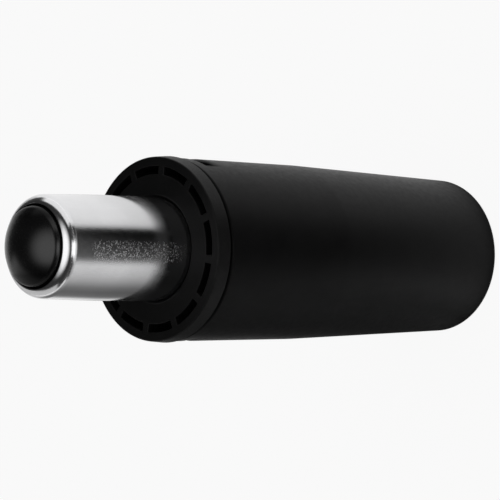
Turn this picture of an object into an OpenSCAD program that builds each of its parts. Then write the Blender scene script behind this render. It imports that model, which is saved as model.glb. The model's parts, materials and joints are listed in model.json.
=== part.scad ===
// Chair gas lift at its lowest: a tapered steel column holds a plastic guide bush, a thrust bearing and
// a piston rod. A chromed gas spring slides over the rod and turns in the bush, and its tip takes the seat.
// The axis is +Z, the foot of the column stands on z = 0, and sizes are in millimetres and degrees.

/* [Column tube] */
// Outside diameter of the straight part of the column
column_d = 50; // [48:0.5:56]
// Wall of the column
column_wall = 2; // [1.5:0.1:2.5]
// Length of the taper that sits in the chair base
base_taper_len = 68; // [50:1:75]
// Slope of both tapers on each side, in degrees
taper_angle = 1.4378; // [1:0.0001:2]
// How far the rolled rim at the foot reaches in
rim_reach = 3.8; // [3:0.1:5]
// Rounding of the rim's outer edge
rim_round = 0.4; // [0.2:0.1:1.8]
// Rounding of the rim's inner edge
rim_inner_round = 0.3; // [0.1:0.05:0.6]
// Rounding of the column's top edge
column_top_round = 0.6; // [0.3:0.1:0.8]

/* [Crimps] */
// Number of crimps that lock the bush into the column
crimp_n = 2; // [2:1:4]
// Direction of the first crimp, in degrees from +X
crimp_turn = -8.1; // [-90:0.1:90]
// Depth of a crimp
crimp_depth = 1.2; // [0.8:0.1:1.4]
// Height of a crimp along the column
crimp_h = 5; // [4:0.1:7]
// Distance from the column's top edge down to a crimp
crimp_drop = 4; // [3:0.1:8]
// Room around a crimp in the bush
crimp_gap = 0.3; // [0.2:0.05:0.5]

/* [Guide bush] */
// Height of the collar on top of the column
collar_h = 5.4; // [4:0.1:8]
// How far the collar stands out past the column
collar_over = 0.35; // [0.2:0.05:0.8]
// Draft of the collar's side, from its bottom to its top
collar_draft = 0.35; // [0.1:0.05:0.6]
// Rounding of the collar's top edge
collar_round = 0.4; // [0.2:0.05:0.6]
// Chamfer under the collar's edge, which leaves a shadow line above the column
collar_chamfer = 1.2; // [0.4:0.05:1.5]
// Length of the bush inside the column
bush_len = 46; // [30:1:60]
// Wall of the inner sleeve of the bush
bush_wall = 2.5; // [1.8:0.1:3.5]
// Number of webs around the sleeve, with a slot in the collar between each two
web_n = 12; // [8:1:16]
// Thickness of a web
web_w = 2.2; // [1.6:0.1:3]
// Direction of the first web, in degrees from +X
web_turn = 21.9; // [0:0.1:45]
// Width of a slot in the collar
slot_w = 2.2; // [1.5:0.1:3]
// Distance from the column's outside to the slots
slot_edge = 2.5; // [2:0.1:3.5]
// Chamfer at both ends of the guide bore
bore_chamfer = 0.85; // [0.4:0.05:1.2]
// Radial play of the bush in the column
bush_fit = 0.06; // [0.02:0.01:0.15]
// Radial play of the gas spring in the bush
guide_fit = 0.06; // [0.02:0.01:0.1]

/* [Travel] */
// Height that the seat rises
stroke = 50; // [30:1:80]
// Length of the gas spring that the column still holds at full height
guide_engaged = 37.7; // [30:0.1:60]
// Travel of the release button
button_travel = 3; // [2.5:0.1:4]
// Play before a stop is met at either end of the lift
stop_gap = 0.3; // [0.2:0.05:0.6]

/* [Foot and bearing] */
// Thickness of the dished base plate
plate_t = 2.5; // [2:0.1:3.5]
// Height that the middle of the base plate is raised
plate_rise = 6; // [5.5:0.1:9]
// Radial play of the base plate in the column
plate_fit = 0.1; // [0.05:0.01:0.2]
// Diameter of the bearing races
race_d = 24; // [22:0.5:27]
// Thickness of a race
race_t = 2; // [1.5:0.1:3]
// Number of bearing balls
ball_n = 10; // [8:1:11]
// Diameter of a ball
ball_d = 3.5; // [3:0.1:4]
// Diameter of the circle of balls
ball_pitch_d = 17; // [16:0.5:18]
// Depth of the ball groove in each race
groove_depth = 0.45; // [0.3:0.05:0.6]
// Play around a ball in its grooves
ball_fit = 0.05; // [0.02:0.01:0.08]
// Thickness of the ball cage
cage_t = 1.6; // [1.2:0.1:2]
// Width of the ball cage, from its inside to its outside
cage_w = 5.4; // [5:0.1:6]
// Play around a ball in the cage
cage_fit = 0.1; // [0.05:0.01:0.15]
// Thickness of the washer on the upper race
thrust_washer_t = 1.5; // [1:0.1:2.5]
// Diameter of the rubber bumper
bumper_d = 21; // [19:0.5:24]
// Rounding of the bumper's edges
bumper_round = 1; // [0.5:0.1:2]
// Height of the rubber bumper
bumper_h = 8.3; // [6:0.1:12]

/* [Piston rod] */
// Diameter of the rod
rod_d = 10; // [9:0.5:11]
// Diameter of the rod's foot, which turns in the base plate
rod_foot_d = 8; // [7:0.1:8.5]
// Diameter of the rod's tip, which holds the piston
rod_tip_d = 6; // [5:0.1:7]
// Radial play of a turning or sliding shaft
shaft_fit = 0.05; // [0.02:0.01:0.1]
// Radial room of a loose washer or ring on a shaft
loose_fit = 0.2; // [0.1:0.05:0.4]
// Diameter of the washer under the base plate
retaining_washer_d = 16; // [13:0.5:20]
// Thickness of the washer under the base plate
retaining_washer_t = 1; // [0.8:0.1:1.2]
// Diameter of the retaining clip
clip_d = 14; // [12:0.5:16]
// Thickness of the retaining clip
clip_t = 1.2; // [0.8:0.1:1.5]
// Depth of the clip's groove in the rod
clip_groove = 1; // [0.6:0.1:1.2]
// How far each end of the clip closes past the groove
clip_grip = 0.45; // [0.3:0.05:0.6]
// Length of the rod below the clip
rod_end_len = 1.8; // [1.2:0.1:2]
// Bevel on the turned ends of the rod and the release pin
end_bevel = 0.5; // [0.3:0.05:0.8]
// Axial play of a clip and of the washer under the base plate
axial_play = 0.1; // [0.05:0.01:0.2]

/* [Gas spring tubes] */
// Outside diameter of the chromed pressure tube
tube_d = 28; // [26:0.5:30]
// Wall of the pressure tube
tube_wall = 2.2; // [2:0.1:2.5]
// How far the pressure tube stands above the collar at its lowest
tube_proud = 42.1; // [38:0.1:50]
// Length of the taper that takes the seat
seat_taper_len = 22; // [18:0.5:30]
// Outer radius of the lip rolled at the top of the pressure tube
lip_round = 3.35; // [2.8:0.05:3.6]
// How far the rolled lip reaches in past the bore
lip_reach = 0.9; // [0.7:0.05:1.1]
// How far the rolled foot of the pressure tube reaches in
foot_reach = 3.2; // [2.5:0.1:4]
// Rounding of the foot's outer edge
foot_round = 1.8; // [1:0.1:2]
// Outside diameter of the inner tube
inner_tube_d = 21; // [20:0.1:21.5]
// Wall of the inner tube
inner_tube_wall = 1; // [0.8:0.1:1.2]
// Diameter of the gas holes in the inner tube and the valve
gas_hole_d = 1.6; // [1:0.1:2]
// Number of gas holes in each row
gas_hole_n = 4; // [3:1:6]

/* [Rod seal] */
// Height of the guide that closes the foot of the pressure tube
rod_guide_h = 8.5; // [6:0.1:12]
// Height of the rod seal
rod_seal_h = 5; // [3:0.1:7]
// Height of the washer above the rod seal
seal_washer_h = 3; // [2:0.1:4]
// Height of a spigot in either end of the inner tube
spigot_h = 3; // [2:0.1:5]
// Radial play of a plug in its tube
plug_fit = 0.05; // [0.02:0.01:0.1]

/* [Piston] */
// Height of the piston
piston_h = 8; // [6:0.1:12]
// Radial play of the piston in the inner tube
piston_fit = 0.2; // [0.1:0.01:0.3]
// Diameter of the section of every sealing ring
ring_section = 1.9; // [1.6:0.1:2.1]
// Diameter of the washers on both sides of the piston
piston_washer_d = 16; // [14:0.5:18]
// Thickness of a washer at the piston
piston_washer_t = 1.4; // [1:0.1:2]
// Height of the rod's riveted head
rivet_h = 1.6; // [1.2:0.1:2.5]
// Diameter of the rod's riveted head
rivet_d = 9; // [8:0.1:11]

/* [Release valve] */
// Height of the valve body's head
valve_head_h = 9; // [7:0.1:12]
// Height of the gas gallery around the valve body
gallery_h = 3; // [2.5:0.1:5]
// Height of the valve body's stem below its spigot
valve_stem_h = 5; // [3:0.1:8]
// Diameter of the valve body's stem
valve_stem_d = 14; // [12:0.5:16]
// Diameter of the release pin
pin_d = 6; // [5:0.1:6.5]
// Depth of the gas groove around the release pin
pin_groove = 0.8; // [0.5:0.1:1]
// Radial gas passage around the release pin in the stem
pin_passage = 0.6; // [0.4:0.05:0.9]
// Diameter of the release pin's valve head
pin_head_d = 9; // [8:0.1:11]
// Height of the release pin's valve head
pin_head_h = 2.4; // [1.5:0.1:4]
// Length of the pin seal spacer below its gas holes
spacer_foot = 2.4; // [1.5:0.1:4]
// Wall of that spacer
spacer_wall = 1.3; // [1:0.1:1.5]
// Height of the guide at the top of the valve body
pin_guide_h = 3; // [2:0.1:4]
// Height of the snap ring above the valve body
snap_ring_h = 1.2; // [0.8:0.1:1.5]
// Depth of the snap ring's groove in the pressure tube
snap_groove = 0.6; // [0.4:0.05:0.8]
// Width of the snap ring, from its inside to its outside
snap_ring_w = 2.6; // [2:0.1:3.2]
// Length of the gap in the snap ring
snap_ring_gap = 6; // [4:0.5:10]

/* [Button] */
// Height of the button's dome above the lip
button_rise = 4.9; // [3:0.1:5.5]
// Height of the dome above its own edge
dome_h = 2.5; // [1.5:0.1:3.5]
// Rounding between the dome and the button's side
button_round = 2; // [0.6:0.1:2.2]
// Radial gap between the button and the lip
button_gap = 0.4; // [0.2:0.05:0.6]
// Radial gap between the button's flange and the pressure tube
button_flange_gap = 0.5; // [0.3:0.05:0.6]
// Height of the button's flange
button_flange_h = 1.4; // [1:0.1:1.8]
// Wall of the button
button_wall = 1.6; // [1.2:0.1:2]
// Diameter of the boss that holds the release pin
button_boss_d = 9.6; // [9:0.1:11]
// Length of the release pin held in the boss
pin_hold = 3.4; // [2.5:0.1:4]

/* [Hidden] */
$fn = 96;
slope = tan(taper_angle);
cut = 1;

column_r = column_d / 2;
column_ri = column_r - column_wall;
function column_out(z) = z < base_taper_len ? column_r - (base_taper_len - z) * slope : column_r;
function column_in(z) = column_out(z) - column_wall;

// Heights from the foot upwards
plate_z0 = column_wall;
plate_under = plate_z0 + plate_rise;
plate_top = plate_under + plate_t;
race_gap = ball_d + 2 * ball_fit - 2 * groove_depth;
lower_race_top = plate_top + race_t;
ball_z = lower_race_top + race_gap / 2;
upper_race_z0 = lower_race_top + race_gap;
thrust_z0 = upper_race_z0 + race_t;
rod_shoulder = thrust_z0 + thrust_washer_t;
bumper_top = rod_shoulder + bumper_h;
retaining_washer_z0 = plate_under - axial_play - retaining_washer_t;
clip_z0 = retaining_washer_z0 - axial_play - clip_t;
tube_z0 = bumper_top + stop_gap;
column_len = tube_z0 + stroke + guide_engaged;
collar_top = column_len + collar_h;
tube_top = collar_top + tube_proud;

// Radii of the foot and the bearing
rim_ri = column_in(column_wall) - rim_reach;
plate_r = column_in(plate_z0) - plate_fit;
race_r = race_d / 2;
ball_pitch_r = ball_pitch_d / 2;
groove_r = ball_d / 2 + ball_fit;
rod_r = rod_d / 2;
rod_foot_r = rod_foot_d / 2;
clip_groove_r = rod_foot_r - clip_groove;

// Crimps and bush
crimp_top = column_len - crimp_drop;
bush_z0 = column_len - bush_len;
bush_r = column_in(bush_z0) - bush_fit;
tube_r = tube_d / 2;
bush_bore_r = tube_r + guide_fit;
sleeve_r = bush_bore_r + bush_wall;
slot_ro = column_r - slot_edge;
slot_ri = slot_ro - slot_w;

// Pressure tube and its rolled lip
tube_ri = tube_r - tube_wall;
seat_taper_z0 = tube_top - seat_taper_len;
function tube_out(z) = z < seat_taper_z0 ? tube_r : tube_r - (z - seat_taper_z0) * slope;
foot_ri = tube_ri - foot_reach;
lip_z = tube_top - lip_round;
lip_r = tube_out(lip_z) - lip_round / cos(taper_angle);
lip_inner_round = tube_ri - lip_r;
mouth_r = tube_ri - lip_reach;
taper_dir = [cos(taper_angle), sin(taper_angle)];
plug_r = tube_ri - plug_fit;

// Rod seal and inner tube
rod_guide_z0 = tube_z0 + tube_wall;
rod_seal_z0 = rod_guide_z0 + rod_guide_h;
seal_washer_z0 = rod_seal_z0 + rod_seal_h;
inner_tube_z0 = seal_washer_z0 + seal_washer_h;
inner_tube_r = inner_tube_d / 2;
inner_tube_ri = inner_tube_r - inner_tube_wall;
spigot_r = inner_tube_ri - plug_fit;
gas_hole_z = inner_tube_z0 + spigot_h + gas_hole_d;
seal_bore_r = rod_r + shaft_fit;

// Piston, which meets the seal washer's spigot at full height
piston_washer_z0 = inner_tube_z0 + spigot_h + stroke + stop_gap;
piston_z0 = piston_washer_z0 + piston_washer_t;
piston_top = piston_z0 + piston_h;
rivet_z0 = piston_top + piston_washer_t;
piston_r = inner_tube_ri - piston_fit;
rod_tip_r = rod_tip_d / 2;
ring_r = ring_section / 2;
seal_height = ring_section + 2 * axial_play;
piston_ring_z = piston_z0 + piston_h / 2;

// Button, whose flange stops under the lip
button_r = mouth_r - button_gap;
button_top = tube_top + button_rise;
round_r = button_r - button_round;
dome_r = (round_r * round_r + dome_h * dome_h) / (2 * dome_h);
dome_z = button_top - dome_r;
round_z = dome_z + sqrt(pow(dome_r - button_round, 2) - round_r * round_r);
hollow_r = button_r - button_wall;
hollow_top = dome_z + sqrt(dome_r * dome_r - hollow_r * hollow_r) - button_wall;
flange_r = tube_ri - button_flange_gap;
flange_top = lip_z + sqrt(pow(lip_inner_round, 2) - pow(flange_r - lip_r, 2)) - stop_gap;
flange_z0 = flange_top - button_flange_h;

// Release valve, from the pressed button downwards
snap_ring_z0 = flange_z0 - button_travel - stop_gap - snap_ring_h;
snap_ring_r = tube_ri + snap_groove - plug_fit;
valve_top = snap_ring_z0 - axial_play / 2;
boss_z0 = valve_top + button_travel + stop_gap;
boss_r = button_boss_d / 2;
gallery_top = valve_top - valve_head_h;
gallery_z0 = gallery_top - gallery_h;
gallery_z = gallery_z0 + gallery_h / 2;
valve_spigot_z0 = gallery_z0 - spigot_h;
valve_z0 = valve_spigot_z0 - valve_stem_h;
body_seal_z = gallery_top + valve_head_h / 2;

// Release pin and its two seals, one on each side of the gas holes
pin_r = pin_d / 2;
pin_bore_r = pin_r + shaft_fit;
pin_top = boss_z0 + pin_hold;
pin_head_z0 = valve_z0 - axial_play - pin_head_h;
seal_seat_r = pin_r + 2 * shaft_fit + ring_section;
pin_guide_z0 = valve_top - pin_guide_h;
spacer_z0 = gallery_z - gas_hole_d / 2 - spacer_foot;
spacer_top = pin_guide_z0 - seal_height;
seat_floor = spacer_z0 - seal_height;

steel = [0.72, 0.73, 0.75];
dark_steel = [0.45, 0.46, 0.48];
chrome = [0.85, 0.86, 0.88];
black_paint = [0.05, 0.05, 0.055];
black_plastic = [0.08, 0.08, 0.085];
rubber = [0.11, 0.11, 0.11];
brass = [0.78, 0.62, 0.32];
nylon = [0.9, 0.88, 0.8];
aluminium = [0.8, 0.81, 0.83];

// Ring between two radii and two heights
module ring(ri, ro, z0, z1) {
    rotate_extrude() translate([ri, z0]) square([ro - ri, z1 - z0]);
}

// Sealing ring of round section around the axis
module seal_ring(middle_r, z) {
    rotate_extrude() translate([middle_r, z]) circle(ring_r);
}

function unit(v) = v / norm(v);

// The sliver that rounding the corner b between a and c takes away
module corner_sliver(a, b, c, r) {
    to_a = unit(a - b);
    to_c = unit(c - b);
    half = acos(to_a * to_c) / 2;
    inward = unit(to_a + to_c);
    difference() {
        polygon([b + to_a * r / tan(half), b - inward * r, b + to_c * r / tan(half)]);
        translate(b + inward * r / sin(half)) circle(r);
    }
}

// Closed outline whose outward corners are rounded: one radius for each point, 0 where it stays sharp
module rounded_outline(points, radii) {
    n = len(points);
    difference() {
        polygon(points);
        for (i = [0 : n - 1]) {
            if (radii[i] > 0) {
                corner_sliver(points[(i + n - 1) % n], points[i], points[(i + 1) % n], radii[i]);
            }
        }
    }
}

// Ring with its four edges rounded
module soft_ring(ri, ro, z0, z1, r) {
    rotate_extrude() rounded_outline([[ri, z0], [ro, z0], [ro, z1], [ri, z1]], [r, r, r, r]);
}

// Row of gas holes drilled towards the axis at one height
module gas_holes(ri, ro, z) {
    for (i = [0 : gas_hole_n - 1]) {
        rotate([0, 0, i * 360 / gas_hole_n])
            translate([ri, 0, z])
                rotate([0, 90, 0]) cylinder(d = gas_hole_d, h = ro - ri);
    }
}

// Wedges that a straight punch leaves: flush at the lower end of each crimp, deepest at its top
module crimp_wedges(face_r) {
    past = 2 * column_wall;
    z0 = crimp_top - crimp_h;
    for (i = [0 : crimp_n - 1]) {
        rotate([90, 0, crimp_turn + i * 360 / crimp_n])
            linear_extrude(height = column_d, center = true)
                polygon([[face_r, z0], [face_r + past, z0], [face_r + past, crimp_top],
                    [face_r - crimp_depth, crimp_top]]);
    }
}

module column_tube() {
    color(black_paint) difference() {
        union() {
            rotate_extrude() rounded_outline(
                [[rim_ri, 0], [column_out(0), 0], [column_r, base_taper_len], [column_r, column_len],
                    [column_ri, column_len], [column_ri, base_taper_len],
                    [column_in(column_wall), column_wall], [rim_ri, column_wall]],
                [rim_inner_round, rim_round, 0, column_top_round, 0, 0, 0, 0]);
            intersection() {
                crimp_wedges(column_ri);
                cylinder(r = column_ri + column_wall / 2, h = column_len);
            }
        }
        crimp_wedges(column_r);
    }
}

// Dished plate on the rolled rim, with a raised middle that carries the bearing
module base_plate() {
    middle_r = race_r + plate_t / 2;
    skirt = plate_rise / 3;
    color(dark_steel) rotate_extrude() polygon([
        [rod_foot_r + shaft_fit, plate_under], [middle_r - plate_t, plate_under],
        [middle_r - plate_t + skirt, plate_z0], [plate_r, plate_z0], [plate_r, plate_z0 + plate_t],
        [middle_r + skirt, plate_z0 + plate_t], [middle_r, plate_top], [rod_foot_r + shaft_fit, plate_top]]);
}

// Radial webs around the sleeve
module webs(ri, ro, z0, z1) {
    intersection() {
        for (i = [0 : web_n - 1]) {
            rotate([0, 0, web_turn + i * 360 / web_n])
                translate([ri, -web_w / 2, z0]) cube([ro - ri + cut, web_w, z1 - z0]);
        }
        translate([0, 0, z0]) cylinder(r = ro, h = z1 - z0);
    }
}

module collar() {
    collar_r = column_r + collar_over;
    rotate_extrude() rounded_outline(
        [[bush_bore_r, column_len], [collar_r - collar_chamfer, column_len],
            [collar_r, column_len + collar_chamfer], [collar_r - collar_draft, collar_top],
            [bush_bore_r + bore_chamfer, collar_top], [bush_bore_r, collar_top - bore_chamfer]],
        [0, 0, 0, collar_round, 0, 0]);
}

// Slots through the collar between the webs
module collar_slots() {
    difference() {
        ring(slot_ri, slot_ro, column_len - cut, collar_top + cut);
        webs(slot_ri - cut, slot_ro + cut, column_len - 2 * cut, collar_top + 2 * cut);
    }
}

module guide_bush() {
    groove_ri = column_ri - crimp_depth - crimp_gap;
    color(black_plastic) union() {
        difference() {
            collar();
            collar_slots();
        }
        rotate_extrude() polygon([
            [bush_bore_r, bush_z0 + bore_chamfer], [bush_bore_r + bore_chamfer, bush_z0],
            [sleeve_r, bush_z0], [sleeve_r, column_len], [bush_bore_r, column_len]]);
        difference() {
            webs(sleeve_r - bush_wall / 2, bush_r, bush_z0, column_len);
            ring(groove_ri, column_r, crimp_top - crimp_h - crimp_gap, crimp_top + crimp_gap);
        }
    }
}

// Bearing race with its ball groove
module race(bore_r, z0) {
    color(steel) rotate_extrude() difference() {
        translate([bore_r, z0]) square([race_r - bore_r, race_t]);
        translate([ball_pitch_r, ball_z]) circle(groove_r);
    }
}

module lower_race() {
    race(rod_foot_r + loose_fit, plate_top);
}

module upper_race() {
    race(rod_foot_r + shaft_fit, upper_race_z0);
}

// One copy for each ball, in the place of the ball
module at_balls() {
    for (i = [0 : ball_n - 1]) {
        rotate([0, 0, i * 360 / ball_n]) translate([ball_pitch_r, 0, ball_z]) children();
    }
}

module bearing_cage() {
    color(nylon) difference() {
        ring(ball_pitch_r - cage_w / 2, ball_pitch_r + cage_w / 2, ball_z - cage_t / 2, ball_z + cage_t / 2);
        at_balls() cylinder(d = ball_d + 2 * cage_fit, h = cage_t + cut, center = true);
    }
}

module bearing_balls() {
    color(steel) at_balls() sphere(d = ball_d);
}

module piston_rod() {
    end_z = clip_z0 - rod_end_len;
    color(chrome) rotate_extrude() polygon([
        [0, end_z], [rod_foot_r - end_bevel, end_z], [rod_foot_r, end_z + end_bevel],
        [rod_foot_r, clip_z0 - axial_play / 2], [clip_groove_r, clip_z0 - axial_play / 2],
        [clip_groove_r, clip_z0 + clip_t + axial_play / 2], [rod_foot_r, clip_z0 + clip_t + axial_play / 2],
        [rod_foot_r, rod_shoulder], [rod_r, rod_shoulder], [rod_r, piston_washer_z0],
        [rod_tip_r, piston_washer_z0], [rod_tip_r, rivet_z0], [rivet_d / 2, rivet_z0],
        [rivet_d / 2, rivet_z0 + rivet_h - end_bevel], [rivet_d / 2 - end_bevel, rivet_z0 + rivet_h],
        [0, rivet_z0 + rivet_h]]);
}

module thrust_washer() {
    color(steel) ring(rod_foot_r + shaft_fit, race_r, thrust_z0, rod_shoulder);
}

module bumper_ring() {
    color(rubber) soft_ring(rod_r + loose_fit, bumper_d / 2, rod_shoulder, bumper_top, bumper_round);
}

module retaining_washer() {
    top = retaining_washer_z0 + retaining_washer_t;
    color(steel) ring(rod_foot_r + loose_fit, retaining_washer_d / 2, retaining_washer_z0, top);
}

// Horseshoe clip pushed into the rod's groove from one side
module retaining_clip() {
    bite_r = clip_groove_r + shaft_fit;
    mouth_w = 2 * (bite_r - clip_grip);
    color(dark_steel) translate([0, 0, clip_z0]) linear_extrude(height = clip_t) difference() {
        circle(d = clip_d);
        circle(bite_r);
        translate([0, -mouth_w / 2]) square([clip_d, mouth_w]);
    }
}

module piston() {
    groove_floor = inner_tube_ri - shaft_fit - ring_section - axial_play;
    color(aluminium) difference() {
        ring(rod_tip_r + shaft_fit, piston_r, piston_z0, piston_top);
        ring(groove_floor, piston_r + cut, piston_ring_z - seal_height / 2, piston_ring_z + seal_height / 2);
    }
}

module piston_ring() {
    color(rubber) seal_ring(inner_tube_ri - shaft_fit - ring_r, piston_ring_z);
}

module piston_washer(z0) {
    color(steel) ring(rod_tip_r + shaft_fit, piston_washer_d / 2, z0, z0 + piston_washer_t);
}

module piston_lower_washer() {
    piston_washer(piston_washer_z0);
}

module piston_upper_washer() {
    piston_washer(piston_top);
}

// Wall of the pressure tube, from its rolled foot up to where the lip starts to curl
module tube_wall_outline() {
    start = [lip_r, lip_z];
    rounded_outline(
        [[foot_ri, tube_z0], [tube_r, tube_z0], [tube_r, seat_taper_z0], start + taper_dir * lip_round,
            start + taper_dir * lip_inner_round, [tube_ri, lip_z], [tube_ri, tube_z0 + tube_wall],
            [foot_ri, tube_z0 + tube_wall]],
        [0, foot_round, 0, 0, 0, 0, 0, 0]);
}

// Lip that curls in over the button's flange
module lip_outline() {
    start = [lip_r, lip_z];
    far = 2 * lip_round;
    intersection() {
        translate(start) difference() {
            circle(lip_round);
            circle(lip_inner_round);
        }
        polygon([[mouth_r, lip_z], start, start + taper_dir * far, start + [far, far], [mouth_r, lip_z + far]]);
    }
}

module pressure_tube() {
    color(chrome) difference() {
        rotate_extrude() union() {
            tube_wall_outline();
            lip_outline();
        }
        ring(tube_ri - cut, tube_ri + snap_groove, valve_top, valve_top + snap_ring_h + axial_play);
    }
}

module inner_tube() {
    color(steel) difference() {
        ring(inner_tube_ri, inner_tube_r, inner_tube_z0, gallery_z0);
        gas_holes(inner_tube_ri - cut, inner_tube_r + cut, gas_hole_z);
    }
}

module rod_guide() {
    color(nylon) ring(seal_bore_r, plug_r, rod_guide_z0, rod_seal_z0);
}

// Seal with a lip on each end, so its ends are hollow between the rod and the tube
module rod_seal() {
    hollow = rod_seal_h / 4;
    middle_r = (seal_bore_r + plug_r) / 2;
    color(rubber) rotate_extrude() difference() {
        translate([seal_bore_r, rod_seal_z0]) square([plug_r - seal_bore_r, rod_seal_h]);
        translate([middle_r, rod_seal_z0]) circle(hollow);
        translate([middle_r, seal_washer_z0]) circle(hollow);
    }
}

// Washer whose spigot centres the foot of the inner tube
module seal_washer() {
    color(aluminium) union() {
        ring(rod_r + loose_fit, plug_r, seal_washer_z0, inner_tube_z0);
        ring(rod_r + loose_fit, spigot_r, seal_washer_z0, inner_tube_z0 + spigot_h);
    }
}

module valve_body() {
    groove_floor = tube_ri - shaft_fit - ring_section - axial_play;
    passage_r = pin_r + pin_passage;
    color(brass) difference() {
        rotate_extrude() polygon([
            [passage_r, valve_z0], [valve_stem_d / 2, valve_z0], [valve_stem_d / 2, valve_spigot_z0],
            [spigot_r, valve_spigot_z0], [spigot_r, gallery_z0], [inner_tube_r, gallery_z0],
            [inner_tube_r, gallery_top], [plug_r, gallery_top], [plug_r, valve_top],
            [seal_seat_r, valve_top], [seal_seat_r, seat_floor], [passage_r, seat_floor]]);
        ring(groove_floor, plug_r + cut, body_seal_z - seal_height / 2, body_seal_z + seal_height / 2);
        gas_holes(pin_r, inner_tube_r + cut, gallery_z);
    }
}

module valve_body_seal() {
    color(rubber) seal_ring(tube_ri - shaft_fit - ring_r, body_seal_z);
}

module pin_seals() {
    color(rubber) {
        seal_ring(pin_bore_r + ring_r, spacer_z0 - seal_height / 2);
        seal_ring(pin_bore_r + ring_r, spacer_top + seal_height / 2);
    }
}

module pin_seal_spacer() {
    ro = seal_seat_r - shaft_fit;
    color(nylon) difference() {
        ring(ro - spacer_wall, ro, spacer_z0, spacer_top);
        gas_holes(ro - spacer_wall - cut, ro + cut, gallery_z);
    }
}

module pin_guide() {
    color(brass) ring(pin_bore_r, seal_seat_r - shaft_fit, pin_guide_z0, valve_top);
}

// Split ring that holds the valve body down
module valve_snap_ring() {
    color(dark_steel) difference() {
        ring(snap_ring_r - snap_ring_w, snap_ring_r, snap_ring_z0, snap_ring_z0 + snap_ring_h);
        translate([0, -snap_ring_gap / 2, snap_ring_z0 - cut])
            cube([tube_r, snap_ring_gap, snap_ring_h + 2 * cut]);
    }
}

// Pin with a valve head below the stem and a gas groove between the two seals
module release_pin() {
    groove_z0 = spacer_z0 + axial_play;
    groove_top = spacer_top - button_travel - axial_play;
    neck_r = pin_r - pin_groove;
    color(steel) rotate_extrude() polygon([
        [0, pin_head_z0], [pin_head_d / 2 - end_bevel, pin_head_z0], [pin_head_d / 2, pin_head_z0 + end_bevel],
        [pin_head_d / 2, pin_head_z0 + pin_head_h], [pin_r, pin_head_z0 + pin_head_h],
        [pin_r, groove_z0], [neck_r, groove_z0 + pin_groove], [neck_r, groove_top - pin_groove],
        [pin_r, groove_top], [pin_r, pin_top - end_bevel], [pin_r - end_bevel, pin_top], [0, pin_top]]);
}

// Dome, rounded edge and side of the button, down to its flange
module button_outline() {
    edge = [round_r, round_z];
    dome_edge = [0, dome_z] + unit(edge - [0, dome_z]) * dome_r;
    difference() {
        intersection() {
            translate([0, flange_z0]) square([button_r, button_top - flange_z0]);
            translate([0, dome_z]) circle(dome_r, $fn = 4 * $fn);
        }
        difference() {
            polygon([dome_edge, edge + [button_round, 2 * button_round], edge + [button_round + cut, cut],
                edge + [button_round, 0]]);
            translate(edge) circle(button_round);
        }
    }
    translate([0, flange_z0]) square([flange_r, button_flange_h]);
}

module button_cap() {
    color(black_plastic) difference() {
        union() {
            rotate_extrude() button_outline();
            translate([0, 0, boss_z0]) cylinder(r = boss_r, h = round_z - boss_z0);
        }
        ring(boss_r, hollow_r, flange_z0 - cut, hollow_top);
        translate([0, 0, boss_z0 - cut]) cylinder(r = pin_r + shaft_fit, h = pin_hold + cut);
    }
}

column_tube();
base_plate();
guide_bush();
lower_race();
bearing_cage();
bearing_balls();
piston_rod();
upper_race();
thrust_washer();
bumper_ring();
retaining_washer();
retaining_clip();
piston();
piston_ring();
piston_lower_washer();
piston_upper_washer();
pressure_tube();
inner_tube();
rod_guide();
rod_seal();
seal_washer();
valve_body();
valve_body_seal();
pin_seals();
pin_seal_spacer();
pin_guide();
valve_snap_ring();
release_pin();
button_cap();
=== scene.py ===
import json
import math

import bmesh
import bpy
from mathutils import Matrix, Vector


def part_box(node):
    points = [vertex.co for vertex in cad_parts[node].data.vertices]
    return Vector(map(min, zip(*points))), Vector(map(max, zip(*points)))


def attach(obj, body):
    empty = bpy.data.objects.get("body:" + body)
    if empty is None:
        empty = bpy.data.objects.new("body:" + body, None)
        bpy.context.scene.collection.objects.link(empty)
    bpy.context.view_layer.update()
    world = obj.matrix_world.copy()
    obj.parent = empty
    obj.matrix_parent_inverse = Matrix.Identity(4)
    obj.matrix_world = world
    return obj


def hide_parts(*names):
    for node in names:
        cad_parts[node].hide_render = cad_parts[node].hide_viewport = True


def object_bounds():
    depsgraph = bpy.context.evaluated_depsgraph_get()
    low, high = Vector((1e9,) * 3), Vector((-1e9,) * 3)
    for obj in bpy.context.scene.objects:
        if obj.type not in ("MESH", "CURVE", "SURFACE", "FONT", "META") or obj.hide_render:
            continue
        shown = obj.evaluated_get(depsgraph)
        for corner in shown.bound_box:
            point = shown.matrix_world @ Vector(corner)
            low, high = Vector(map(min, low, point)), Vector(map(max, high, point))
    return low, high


# Looks of a chair gas lift at its lowest. Metres and degrees, in the frame of the solids: the axis is +Z
# and the foot stands on z = 0. The camera looks at the side that faces -Y, with +X up in the picture.

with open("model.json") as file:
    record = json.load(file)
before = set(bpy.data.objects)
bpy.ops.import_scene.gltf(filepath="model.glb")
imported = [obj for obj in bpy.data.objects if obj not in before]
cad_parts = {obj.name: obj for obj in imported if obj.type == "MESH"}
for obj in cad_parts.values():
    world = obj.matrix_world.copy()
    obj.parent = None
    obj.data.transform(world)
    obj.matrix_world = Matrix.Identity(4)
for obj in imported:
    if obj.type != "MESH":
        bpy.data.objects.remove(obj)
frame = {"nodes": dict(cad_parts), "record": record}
cad_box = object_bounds()
scene = bpy.context.scene
MM = 0.001

# Sizes that the solids give
_, column_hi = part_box("column_tube")
bush_lo, bush_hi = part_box("guide_bush")
tube_lo, tube_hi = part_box("pressure_tube")
button_lo, button_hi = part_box("button_cap")

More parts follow.
